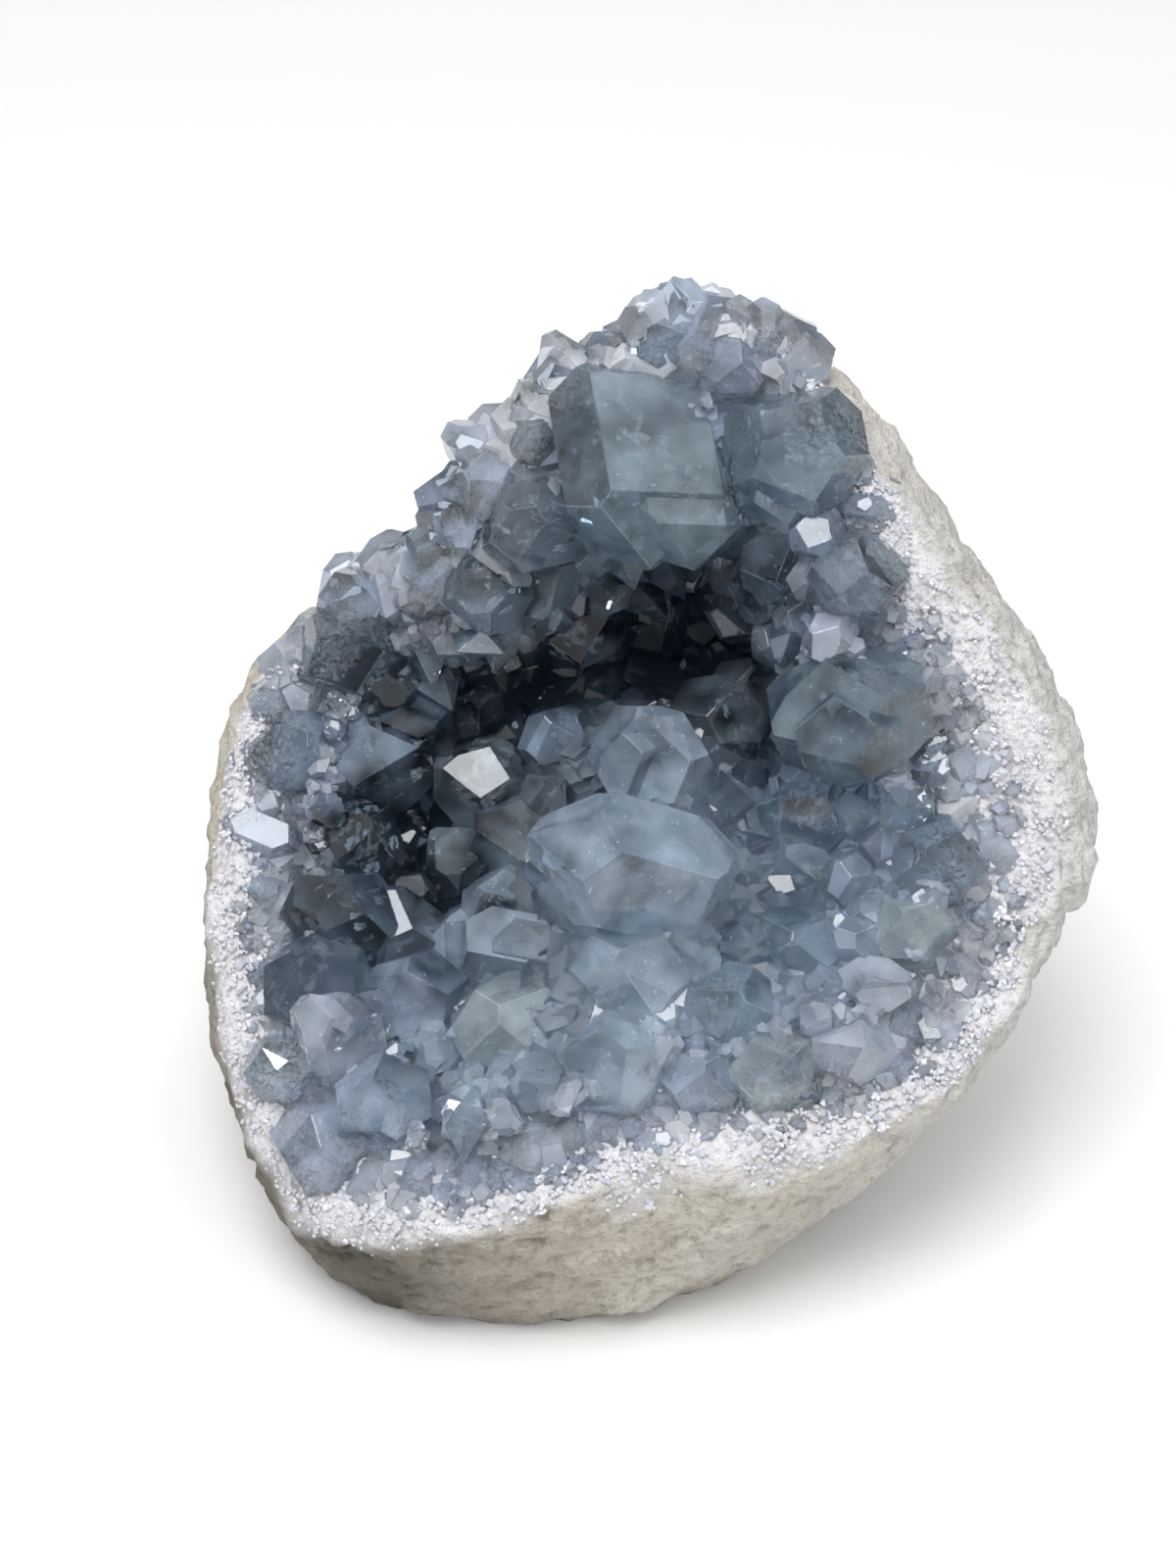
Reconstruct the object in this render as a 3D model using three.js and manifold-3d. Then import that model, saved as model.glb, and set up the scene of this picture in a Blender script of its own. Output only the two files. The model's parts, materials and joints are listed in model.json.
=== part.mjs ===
// A celestite geode: a limestone nodule broken open across one side, its hollow lined with a crust
// of blue celestite crystals. Millimetres, +Z up, standing at z = 0 on a base ground flat.

import * as THREE from "three";
import { ConvexGeometry } from "three/addons/geometries/ConvexGeometry.js";
import { mergeVertices } from "three/addons/utils/BufferGeometryUtils.js";
import Module from "manifold-3d";

const wasm = await Module();
wasm.setup();

// The broken face has a frame of its own: x to the right, y up the face and z out of it.
const FACE_LEAN = 38; // degrees that the face looks up from level
const FACE_CENTRE = new THREE.Vector3(0, -16.6, 74); // above the middle of the base

// The stone's rings round the face, anticlockwise from the right. A row has an angle in degrees,
// then a radius and a height out of the face for each ring: the outline of the nodule, the edge
// of its skin, the inner edge of the broken rim, the wall of the hollow and the floor under it.
const STATIONS = [
  [0, 73, -14, 67, -2, 50, -3, 38, -15, 23, -26],
  [20, 70, -14, 63, 0, 48, -2, 37, -19, 25, -33],
  [45, 69, -13, 62, 2, 50, 0, 40, -22, 28, -42],
  [62, 76, -12, 69, 2, 62, 0, 46, -22, 30, -47],
  [78, 81, -12, 79, -1, 74, -2, 51, -21, 30, -49],
  [95, 74, -13, 72, -4, 68, -5, 48, -23, 29, -49],
  [112, 63, -16, 60, -7, 56, -8, 43, -27, 29, -48],
  [130, 55, -26, 52, -16, 48, -17, 39, -34, 30, -47],
  [146, 64, -40, 60, -30, 55, -31, 45, -41, 33, -49],
  [165, 71, -38, 66, -27, 59, -29, 48, -40, 35, -50],
  [190, 74, -31, 70, -20, 61, -22, 49, -37, 35, -48],
  [212, 81, -24, 77, -11, 67, -12, 52, -29, 36, -38],
  [232, 89, -16, 82, 0, 70, 0, 52, -14, 34, -21],
  [248, 87, -12, 71, 7, 59, 5, 44, -3, 28, -10],
  [270, 79, -10, 57, 11, 47, 6, 35, 0, 22, -6],
  [295, 71, -10, 60, 8, 47, 4, 35, -3, 22, -9],
  [318, 68, -10, 64, 3, 54, 1, 40, -7, 24, -14],
  [340, 69, -12, 66, -1, 55, -2, 40, -12, 23, -20],
];
const RING_COLUMNS = { outline: 1, skin: 3, rim: 5, wall: 7, floor: 9 };
// The back swells downwards: each ring is a share of the outline, dropped and set at a depth.
const BACK = {
  pole: new THREE.Vector3(0, -22, -80),
  low: { share: 0.66, drop: 16, depth: -68 },
  side: { share: 0.96, drop: 4, depth: -42 },
};
const MOUND_TOP = new THREE.Vector3(0, 0, -12); // the hollow's floor rises to this in the middle
const LUMP = { height: 0.9, pitch: 21 }; // low swellings of the nodule's surface
const LEDGE = { at: [68, -9, -8], half: [4.5, 7, 7] }; // a thick edge of skin left standing on the right

// The crust and its crystals
const CRUST_THICK = 8;
const CRUST_ROOT = 2; // how far the crust is bedded in the stone before the stone is cut away
const CRUST_GAP = 0.3; // clearance between the crust and the stone
const HOLLOW_FOCUS = new THREE.Vector3(0, 5, 30); // the crystals grow towards this point
const CELL = { a: 8.36, b: 5.35, c: 6.87 }; // celestite's orthorhombic cell, angstrom
const DOME_AND_PRISM = [[0, 1, 1], [2, 1, 0]]; // Miller indices of the faces that a small crystal shows
const WITH_PINACOID = [...DOME_AND_PRISM, [0, 0, 1]]; // and a large one

// Large crystals, by name: the place on the face (x, y), the height of the middle above the wall,
// the way the long axis points (x, y, z), its roll in degrees, and half its length, breadth, depth.
const LARGE_CRYSTALS = {
  roof_great: [0, 56, 2.5, 0.15, -0.9, 0.4, 0, 21, 16, 8],
  roof_right: [24, 57, -0.5, 0.1, -0.85, 0.5, 20, 14, 12, 10],
  roof_shard: [23, 42, -0.5, -0.2, -0.6, 0.75, 30, 10, 9, 6],
  roof_left: [-17, 46, -1.5, -0.1, -0.8, 0.6, 10, 11, 9, 8],
  roof_edge: [-24, 53, -3.5, -0.5, 0.1, 0.85, 30, 8, 7, 6],
  roof_top: [-17, 59, -3.5, -0.3, 0.3, 0.9, 0, 7, 5, 5],
  roof_corner: [-27, 47, -3.5, -0.5, -0.5, 0.7, 0, 8, 5, 5],
  roof_spur: [-32, 43, -3.5, -0.9, 0.4, 0.4, 0, 7, 4, 4],
  roof_wedge: [-25, 37, -2.5, -0.1, -0.8, 0.6, 0, 11, 8, 6],
  roof_fan: [-17, 38, -1.5, 0.2, -0.7, 0.7, 45, 10, 9, 6],
  roof_low: [-10, 33, -0.5, 0.1, -0.8, 0.6, 20, 11, 9, 8],
  roof_deep: [3, 34, -1.5, 0.2, -0.75, 0.6, 60, 10, 9, 8],
  roof_dark: [13, 49, -3.5, 0.1, -0.7, 0.7, 0, 11, 9, 6],
  roof_step: [17, 34, -1.5, 0.1, -0.5, 0.85, 0, 10, 8, 6],
  peak_tip: [7, 79, -4.5, -0.25, 0.8, 0.5, 0, 7, 6, 5],
  peak_block: [4, 74, -3.5, -0.3, 0.4, 0.85, 30, 7, 7, 5],
  peak_right: [15, 77, -4.5, 0.3, 0.6, 0.7, 0, 6, 5, 4],
  peak_left: [-5, 73, -4.5, -0.4, 0.5, 0.75, 0, 6, 5, 4],
  peak_step: [14, 70, -3.5, 0.2, 0.3, 0.93, 0, 8, 7, 5],
  right_great: [33, 16, 1.5, -0.85, -0.15, 0.5, 10, 15, 14, 11],
  right_dark: [30, 1, -1.5, -0.6, 0.1, 0.8, 40, 15, 10, 9],
  right_pocket: [47, -7, -4.5, -0.3, 0.1, 0.95, 0, 11, 9, 8],
  right_upper: [34, 37, -1.5, -0.4, -0.4, 0.8, 0, 11, 9, 8],
  right_pale: [43, -19, -3.5, -0.3, 0.4, 0.87, 0, 9, 8, 6],
  right_low: [27, -10, -2.5, -0.4, 0.3, 0.87, 0, 10, 8, 8],
  centre_point: [3, 7, 2.5, -0.3, 0.6, 0.75, 0, 14, 11, 10],
  centre_great: [-1, -8, 2.5, -0.85, 0.25, 0.45, 0, 19, 13, 11],
  centre_pyramid: [14, 13, -0.5, 0.1, 0.75, 0.65, 0, 15, 11, 10],
  centre_small: [-12, 11, -1.5, -0.3, 0.6, 0.75, 20, 9, 8, 6],
  left_grey: [-26, 5, 4.5, -0.7, 0.3, 0.65, 0, 12, 10, 9],
  left_glass: [-20, -4, 0.5, -0.6, 0.2, 0.77, 0, 10, 9, 8],
  left_edge: [-29, -8, 2.5, -0.8, 0.1, 0.6, 0, 10, 8, 6],
  left_foot: [-21, -16, -0.5, -0.4, 0.4, 0.8, 30, 11, 9, 8],
  left_brown: [-27, 17, -0.5, 0.1, -0.2, 0.97, 0, 10, 9, 8],
  left_back: [-44, 9, -0.5, 0.5, 0.1, 0.85, 0, 14, 13, 11],
  left_top: [-49, 27, -3.5, 0.4, 0.1, 0.9, 30, 12, 11, 9],
  left_crown: [-47, 35, -4.5, 0.1, 0.4, 0.9, 0, 9, 8, 7],
  left_side: [-57, 10, -4.5, 0.3, 0.1, 0.95, 0, 10, 9, 8],
  left_mid: [-48, -5, -1.5, 0.4, 0.2, 0.9, 0, 12, 10, 9],
  left_navy: [-49, -18, -0.5, 0.2, 0.6, 0.77, 0, 12, 11, 10],
  left_ink: [-53, -27, -2.5, -0.2, 0.5, 0.85, 40, 11, 10, 9],
  left_blue: [-40, -21, 0.5, -0.6, 0.5, 0.6, 0, 12, 9, 8],
  corner_blue: [-36, -31, -1.5, -0.2, 0.6, 0.77, 20, 12, 10, 8],
  corner_tall: [-48, -38, -2.5, -0.1, 0.8, 0.6, 0, 14, 8, 6],
  corner_side: [-55, -42, -3.5, -0.4, 0.6, 0.75, 0, 11, 8, 6],
  corner_mid: [-41, -47, -4.5, 0.1, 0.5, 0.85, 40, 12, 10, 8],
  corner_low: [-50, -53, -4.5, -0.2, 0.5, 0.85, 0, 11, 9, 8],
  front_bar: [-19, -24, 0.5, 0.9, -0.15, 0.4, 0, 14, 8, 8],
  front_left: [-29, -23, -0.5, -0.3, 0.5, 0.8, 60, 11, 9, 8],
  front_pale: [-20, -35, -1.5, -0.2, 0.3, 0.93, 0, 12, 11, 10],
  front_mirror: [-1, -26, -1.5, -0.3, 0.3, 0.9, 0, 12, 11, 10],
  front_mid: [13, -31, -3.5, 0.2, 0.3, 0.93, 20, 11, 9, 8],
  front_side: [25, -22, -2.5, -0.2, 0.3, 0.93, 0, 11, 9, 8],
  front_blue: [-4, -39, -4.5, -0.1, 0.4, 0.9, 50, 11, 10, 8],
  front_low: [9, -41, -4.5, 0.1, 0.3, 0.95, 0, 9, 8, 6],
  front_right: [20, -41, -4.5, 0.3, 0.2, 0.93, 0, 10, 9, 6],
  front_end: [32, -37, -4.5, 0.2, 0.3, 0.93, 30, 10, 9, 6],
};

const SMALL = { seed: 7, tries: 600, rimBias: 0.8, rimHalf: 5, deepHalf: 9, spacing: 0.85, tilt: 0.9 };

const STONE_COLOUR = 0xb9b3a4;
const CRYSTAL_COLOUR = 0x8fa9c2;
const ROUND_STEPS = 45;
const STEPS_PER_RING = 3;
const LINING_STEPS = { round: 36, along: 14 };

const polar = (degrees, radius, out) => {
  const angle = THREE.MathUtils.degToRad(degrees);
  return new THREE.Vector3(radius * Math.cos(angle), radius * Math.sin(angle), out);
};

const closedCurve = (points) => new THREE.CatmullRomCurve3(points, true, "catmullrom", 0.5);

function faceRing(column) {
  return closedCurve(STATIONS.map((row) => polar(row[0], row[column], row[column + 1])));
}

function backRing({ share, drop, depth }) {
  const points = STATIONS.map((row) => polar(row[0], share * row[RING_COLUMNS.outline], depth));
  return closedCurve(points.map((p) => p.setY(p.y - drop)));
}

const RINGS = [backRing(BACK.low), backRing(BACK.side), ...Object.values(RING_COLUMNS).map(faceRing)];
const PROFILE_SPANS = RINGS.length + 1;
const RIM_AT = 5 / PROFILE_SPANS; // where the profile turns from the broken rim into the hollow

// A point of the stone: round is the turn about the face, along runs from the middle of the back
// over the outline and the rim to the middle of the hollow's floor.
function stonePoint(round, along) {
  const points = [BACK.pole, ...RINGS.map((curve) => curve.getPoint(round % 1)), MOUND_TOP];
  return new THREE.CatmullRomCurve3(points, false, "catmullrom", 0.5).getPoint(along);
}

// A low swelling, from three waves that cross each other.
function lump(p) {
  const k = (2 * Math.PI) / LUMP.pitch;
  return LUMP.height * Math.sin(k * p.x + p.z / 9) * Math.sin(k * p.y - p.x / 11) * Math.cos(k * p.z);
}

// A sphere's grid pulled into a closed shape by a function of the turn and the share from pole to pole.
function pulledSphere(roundSteps, alongSteps, place) {
  const sphere = new THREE.SphereGeometry(1, roundSteps, alongSteps);
  const { position } = sphere.attributes;
  for (let i = 0; i < position.count; i++) {
    const along = Math.floor(i / (roundSteps + 1)) / alongSteps;
    const round = 1 - (i % (roundSteps + 1)) / roundSteps;
    const p = place(round % 1, along);
    position.setXYZ(i, p.x, p.y, p.z);
  }
  return merged(sphere);
}

function merged(geometry) {
  geometry.deleteAttribute("normal");
  geometry.deleteAttribute("uv");
  return mergeVertices(geometry, 1e-4);
}

function solidOf(geometry) {
  return new wasm.Manifold(
    new wasm.Mesh({
      numProp: 3,
      vertProperties: new Float32Array(geometry.attributes.position.array),
      triVerts: new Uint32Array(geometry.index.array),
    }),
  );
}

function geometryOf(solid) {
  const { vertProperties, triVerts } = solid.getMesh();
  const geometry = new THREE.BufferGeometry();
  geometry.setAttribute("position", new THREE.BufferAttribute(vertProperties, 3));
  geometry.setIndex(new THREE.BufferAttribute(triVerts, 1));
  geometry.computeVertexNormals();
  return geometry;
}

// The same closed shape with every vertex moved out along its normal.
function swollen(geometry, by) {
  const copy = geometry.clone();
  copy.computeVertexNormals();
  const { position, normal } = copy.attributes;
  for (let i = 0; i < position.count; i++) {
    position.setXYZ(
      i,
      position.getX(i) + by * normal.getX(i),
      position.getY(i) + by * normal.getY(i),
      position.getZ(i) + by * normal.getZ(i),
    );
  }
  return copy;
}

const stoneGeometry = pulledSphere(ROUND_STEPS, PROFILE_SPANS * STEPS_PER_RING, (round, along) => {
  const p = stonePoint(round, along);
  const fromMiddle = p.clone().sub(new THREE.Vector3(0, 0, BACK.side.depth)).normalize();
  return p.addScaledVector(fromMiddle, along < RIM_AT ? lump(p) : 0);
});

// The wall of the hollow, raised towards the focus: inward is 0 at the rim and 1 in the middle.
function wallPoint(round, inward, raise) {
  const p = stonePoint(round, RIM_AT + (1 - RIM_AT) * inward);
  const grow = HOLLOW_FOCUS.clone().sub(p).normalize();
  return p.addScaledVector(grow, raise);
}

function crustLining() {
  const geometry = pulledSphere(LINING_STEPS.round, LINING_STEPS.along, (round, along) => {
    const inward = Math.abs(2 * along - 1);
    const raise = along > 0.5 ? CRUST_THICK : -CRUST_ROOT;
    return wallPoint(round, inward, inward === 0 ? 0 : raise);
  });
  return solidOf(geometry);
}

// Repeatable random numbers from 0 to 1.
function randomFrom(seed) {
  let state = seed;
  return () => {
    state = (Math.imul(state, 1664525) + 1013904223) >>> 0;
    return state / 2 ** 32;
  };
}

// Every face of a crystal's forms as a unit normal, along its a, b and c axes.
function formNormals(forms) {
  const signs = (index) => (index === 0 ? [0] : [index, -index]);
  const normals = [];
  for (const [h, k, l] of forms)
    for (const sh of signs(h))
      for (const sk of signs(k))
        for (const sl of signs(l))
          normals.push(new THREE.Vector3(sh / CELL.a, sk / CELL.b, sl / CELL.c).normalize());
  return normals;
}

// How far each form's faces lie from the crystal's middle: the pinacoid sets the depth, the dome the
// breadth and the prism the length.
function faceDistance({ x, y }, [length, breadth, depth]) {
  if (x !== 0) return length * Math.abs(x);
  return y === 0 ? depth : breadth * Math.abs(y);
}

// A crystal's corners are the points where three of its faces meet inside all the others.
function crystalCorners({ forms, half }) {
  const planes = formNormals(forms).map((n) => ({ n, d: faceDistance(n, half) }));
  const corners = [];
  for (let i = 0; i < planes.length; i++)
    for (let j = i + 1; j < planes.length; j++)
      for (let k = j + 1; k < planes.length; k++) {
        const corner = meet(planes[i], planes[j], planes[k]);
        if (corner && planes.every(({ n, d }) => n.dot(corner) < d + 1e-6)) corners.push(corner);
      }
  return corners;
}

function meet(p, q, r) {
  const across = q.n.clone().cross(r.n);
  const volume = p.n.dot(across);
  if (Math.abs(volume) < 1e-6) return null;
  return across
    .multiplyScalar(p.d)
    .addScaledVector(r.n.clone().cross(p.n), q.d)
    .addScaledVector(p.n.clone().cross(q.n), r.d)
    .divideScalar(volume);
}

// The crystal's long axis points along its growth, and its depth leans up the face, then rolls.
function crystalAxes(grow, rollDegrees) {
  const a = grow.clone().normalize();
  const b = new THREE.Vector3(0, 1, 0).cross(a).normalize();
  b.applyAxisAngle(a, THREE.MathUtils.degToRad(rollDegrees));
  return new THREE.Matrix4().makeBasis(a, b, a.clone().cross(b));
}

function crystal(shape) {
  const matrix = crystalAxes(shape.grow, shape.roll).setPosition(shape.middle);
  const corners = crystalCorners(shape).map((corner) => corner.applyMatrix4(matrix));
  return solidOf(merged(new ConvexGeometry(corners)));
}

// The raised wall straight behind a point of the face.
function wallBehind(x, y) {
  const round = roundAt(THREE.MathUtils.radToDeg(Math.atan2(y, x)));
  const radius = Math.hypot(x, y);
  const steps = 60;
  for (let i = 1; i <= steps; i++) {
    const p = wallPoint(round, i / steps, CRUST_THICK);
    if (Math.hypot(p.x, p.y) < radius) return p.z;
  }
  return MOUND_TOP.z + CRUST_THICK;
}

// The turn, from 0 to 1 over the stations, at an angle about the face.
function roundAt(degrees) {
  const angle = (degrees + 360) % 360;
  const after = STATIONS.findIndex((row) => row[0] > angle);
  const last = STATIONS.length - 1;
  const [from, to, index] =
    after < 0
      ? [STATIONS[last][0], 360, last]
      : [STATIONS[after - 1][0], STATIONS[after][0], after - 1];
  return (index + (angle - from) / (to - from)) / STATIONS.length;
}

function largeCrystals() {
  return Object.values(LARGE_CRYSTALS).map(([x, y, lift, ax, ay, az, roll, ...half]) => ({
    middle: new THREE.Vector3(x, y, wallBehind(x, y) + lift),
    grow: new THREE.Vector3(ax, ay, az),
    roll,
    half,
    forms: WITH_PINACOID,
  }));
}

// Small crystals fill the wall between the large ones, smaller towards the rim.
function smallCrystals(taken) {
  const random = randomFrom(SMALL.seed);
  const placed = [...taken];
  for (let tries = 0; tries < SMALL.tries; tries++) {
    const round = random();
    const inward = random() ** SMALL.rimBias;
    const size = SMALL.rimHalf + (SMALL.deepHalf - SMALL.rimHalf) * inward * random();
    const tilt = new THREE.Vector3(random() - 0.5, random() - 0.5, random() - 0.5);
    const roll = 360 * random();
    const slim = 0.6 + 0.3 * random();
    const flat = 0.45 + 0.35 * random();
    const middle = wallPoint(round, inward, CRUST_THICK + 0.2 * size);
    const clear = ({ middle: m, half }) => m.distanceTo(middle) > SMALL.spacing * (half[1] + size * slim);
    if (!placed.every(clear)) continue;
    const grow = HOLLOW_FOCUS.clone().sub(middle).normalize().addScaledVector(tilt, SMALL.tilt);
    const half = [size, size * slim, size * flat];
    placed.push({ middle, grow, roll, half, forms: DOME_AND_PRISM });
  }
  return placed.slice(taken.length);
}

function skinLedge() {
  const geometry = new THREE.SphereGeometry(1, 12, 8).scale(...LEDGE.half).translate(...LEDGE.at);
  return solidOf(merged(geometry));
}

function largestBody(solid) {
  return solid.decompose().reduce((best, body) => (body.volume() > best.volume() ? body : best));
}

const stoneSolid = solidOf(stoneGeometry).add(skinLedge());
const large = largeCrystals();
const small = smallCrystals(large);
const crystals = [...large, ...small].map(crystal);
const crust = largestBody(
  wasm.Manifold.union([crustLining(), ...crystals]).subtract(solidOf(swollen(stoneGeometry, CRUST_GAP))),
);
const up = [0, Math.cos(THREE.MathUtils.degToRad(FACE_LEAN)), Math.sin(THREE.MathUtils.degToRad(FACE_LEAN))];
const stone = stoneSolid.trimByPlane(up, -FACE_CENTRE.z);

function piece(name, solid, colour, roughness) {
  const material = new THREE.MeshStandardMaterial({ color: colour, roughness, metalness: 0 });
  const mesh = new THREE.Mesh(geometryOf(solid), material);
  mesh.name = name;
  return mesh;
}

const part = new THREE.Group();
const face = new THREE.Group();
face.rotation.x = THREE.MathUtils.degToRad(90 - FACE_LEAN);
face.position.copy(FACE_CENTRE);
face.add(piece("limestone_matrix", stone, STONE_COLOUR, 0.95));
face.add(piece("crystal_crust", crust, CRYSTAL_COLOUR, 0.2));
part.add(face);

export default part;
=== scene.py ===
import itertools
import json
import bpy
import numpy as np
from mathutils import Matrix

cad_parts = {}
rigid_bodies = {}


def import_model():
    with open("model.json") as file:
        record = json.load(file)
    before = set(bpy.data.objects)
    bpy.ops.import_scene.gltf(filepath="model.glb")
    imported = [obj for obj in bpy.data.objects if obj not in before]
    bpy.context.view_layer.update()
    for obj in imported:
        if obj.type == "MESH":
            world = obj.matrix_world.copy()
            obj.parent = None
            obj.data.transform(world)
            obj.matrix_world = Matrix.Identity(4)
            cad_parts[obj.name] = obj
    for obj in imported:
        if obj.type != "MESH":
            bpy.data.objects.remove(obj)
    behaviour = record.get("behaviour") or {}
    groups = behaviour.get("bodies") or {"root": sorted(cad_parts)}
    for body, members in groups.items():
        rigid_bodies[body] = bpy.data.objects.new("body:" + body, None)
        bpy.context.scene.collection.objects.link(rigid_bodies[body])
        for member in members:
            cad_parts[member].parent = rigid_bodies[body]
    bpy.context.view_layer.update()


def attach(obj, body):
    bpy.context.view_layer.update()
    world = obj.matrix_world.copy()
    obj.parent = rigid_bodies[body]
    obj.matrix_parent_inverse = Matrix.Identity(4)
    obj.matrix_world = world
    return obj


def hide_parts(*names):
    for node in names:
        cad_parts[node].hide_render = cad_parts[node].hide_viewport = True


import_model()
print("frame loaded")

# the broken face's own frame: x right, y up the face, z out of it, in millimetres
face = {"lean": 38, "centre": (0, -16.6, 74)}
lean = np.radians(face["lean"])
faceRight = np.array([1.0, 0.0, 0.0])
faceUp = np.array([0.0, np.sin(lean), np.cos(lean)])
faceOut = np.array([0.0, -np.cos(lean), np.sin(lean)])


def toPart(p):  # face millimetres to metres in the part
    place = p[..., :1] * faceRight + p[..., 1:2] * faceUp + p[..., 2:] * faceOut
    return (place + np.array(face["centre"])) / 1000


def unit(v):
    return v / np.linalg.norm(v, axis=-1, keepdims=True)


def smooth(low, high, x):  # 0 below low, 1 above high, an S between them
    t = np.clip((x - low) / (high - low), 0, 1)
    return t * t * (3 - 2 * t)


lattice = {"step": (374761393, 668265263, 974634), "seed": 144665, "stir": 1274126177, "word": 2**32}


# value noise from -1 to 1: hashed lattice corners blended across each cell
def noiseAt(p, pitch, seed):
    q = p / pitch
    cell = np.floor(q).astype(np.int64)
    f = q - cell
    f = f * f * (3 - 2 * f)
    total = np.zeros(p.shape[:-1])
    for corner in itertools.product((0, 1), repeat=3):
        c = cell + np.array(corner)
        h = (np.sum(c * np.array(lattice["step"]), axis=-1) + seed * lattice["seed"]) % lattice["word"]
        h = ((h ^ (h >> 13)) * lattice["stir"]) % lattice["word"]
        weight = np.prod(np.where(np.array(corner), f, 1 - f), axis=-1)
        total += weight * ((h ^ (h >> 16)) / lattice["word"])
    return 2 * total - 1


def noiseSum(p, parts):  # noises of these heights, pitches and seeds, added up
    return sum(high * noiseAt(p, pitch, seed) for high, pitch, seed in parts)


def newMesh(name, points, faces):
    mesh = bpy.data.meshes.new(name)
    mesh.from_pydata(np.asarray(points, float).reshape(-1, 3).tolist(), [], faces)
    mesh.validate()
    return mesh


def show(name, mesh, material):
    mesh.materials.clear()
    mesh.materials.append(material)
    piece = bpy.data.objects.new(name, mesh)
    bpy.context.scene.collection.objects.link(piece)
    return piece


def attribute(mesh, name, values, domain="POINT"):
    values = np.asarray(values, np.float32)
    if values.ndim == 1:
        layer = mesh.attributes.new(name, "FLOAT", domain)
        layer.data.foreach_set("value", values)
    else:
        layer = mesh.attributes.new(name, "FLOAT_COLOR", domain)
        layer.data.foreach_set("color", np.c_[values, np.ones(len(values))].ravel().astype(np.float32))


# shader wiring: a wire is a socket that takes part in Python arithmetic
class Wire:
    def __init__(self, tree, socket):
        self.tree, self.socket = tree, socket

    def math(self, operation, other, swap=False):
        pair = (other, self) if swap else (self, other)
        return addNode(self.tree, "ShaderNodeMath", {"operation": operation}, {0: pair[0], 1: pair[1]})

    def __add__(self, other):
        return self.math("ADD", other)

    def __sub__(self, other):
        return self.math("SUBTRACT", other)

    def __rsub__(self, other):
        return self.math("SUBTRACT", other, True)

    def __mul__(self, other):
        return self.math("MULTIPLY", other)

    __radd__ = __add__
    __rmul__ = __mul__

    def between(self, low, high):  # 0 at low, 1 at high
        return addNode(self.tree, "ShaderNodeMapRange", {"interpolation_type": "SMOOTHSTEP"},
                       {"Value": self, "From Min": low, "From Max": high})


def addNode(tree, kind, settings=None, values=None, output=0):
    node = tree.nodes.new(kind)
    for key, value in (settings or {}).items():
        setattr(node, key, value)
    for key, value in (values or {}).items():
        if isinstance(value, Wire):
            tree.links.new(value.socket, node.inputs[key])
        else:
            node.inputs[key].default_value = value
    return Wire(tree, node.outputs[output])


def newMaterial(name):
    material = bpy.data.materials.new(name)
    material.use_nodes = True
    material.node_tree.nodes.clear()
    return material, material.node_tree


def finish(tree, surface, volume=None):
    node = tree.nodes.new("ShaderNodeOutputMaterial")
    tree.links.new(surface.socket, node.inputs["Surface"])
    if volume:
        tree.links.new(volume.socket, node.inputs["Volume"])


def principled(tree, values):
    return addNode(tree, "ShaderNodeBsdfPrincipled", {}, values)


def objectPlace(tree):
    return addNode(tree, "ShaderNodeTexCoord", output=3)


def attributeWire(tree, name, output=2):  # output 2 is its number, 0 its colour
    return addNode(tree, "ShaderNodeAttribute", {"attribute_name": name}, output=output)


def mixColour(tree, factor, a, b):
    return addNode(tree, "ShaderNodeMix", {"data_type": "RGBA"}, {0: factor, 6: a, 7: b}, 2)


def noiseWire(tree, where, scale, detail=3.0, rough=0.55):
    return addNode(tree, "ShaderNodeTexNoise", {},
                   {"Vector": where, "Scale": scale, "Detail": detail, "Roughness": rough})


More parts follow.
